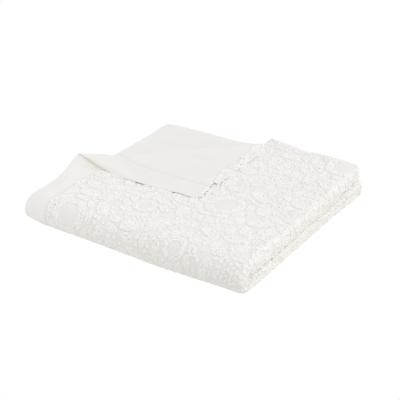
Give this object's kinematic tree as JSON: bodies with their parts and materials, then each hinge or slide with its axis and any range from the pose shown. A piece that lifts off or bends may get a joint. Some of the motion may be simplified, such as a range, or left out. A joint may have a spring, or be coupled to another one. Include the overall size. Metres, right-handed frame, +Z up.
{
  "type": "folded duvet cover",
  "caption": "Duvet cover with a tufted face and a plain back, folded into a soft pad, with one corner of the top layer turned back to show the plain side and its deep hem.",
  "frame": {"origin": "middle of the pad's box, on the surface that it rests on", "axes": "+X along the rounded front fold, +Y from the front fold to the back edges, +Z up"},
  "size_m": [0.5512, 0.5146, 0.0942],
  "materials": {
    "face_cloth": "ivory cotton ground with short tufted pile, matt",
    "back_cloth": "ivory plain-weave cotton, matt"
  },
  "bodies": {
    "root": {"face_panel": "face_cloth", "back_panel": "back_cloth"}
  },
  "joints": []
}
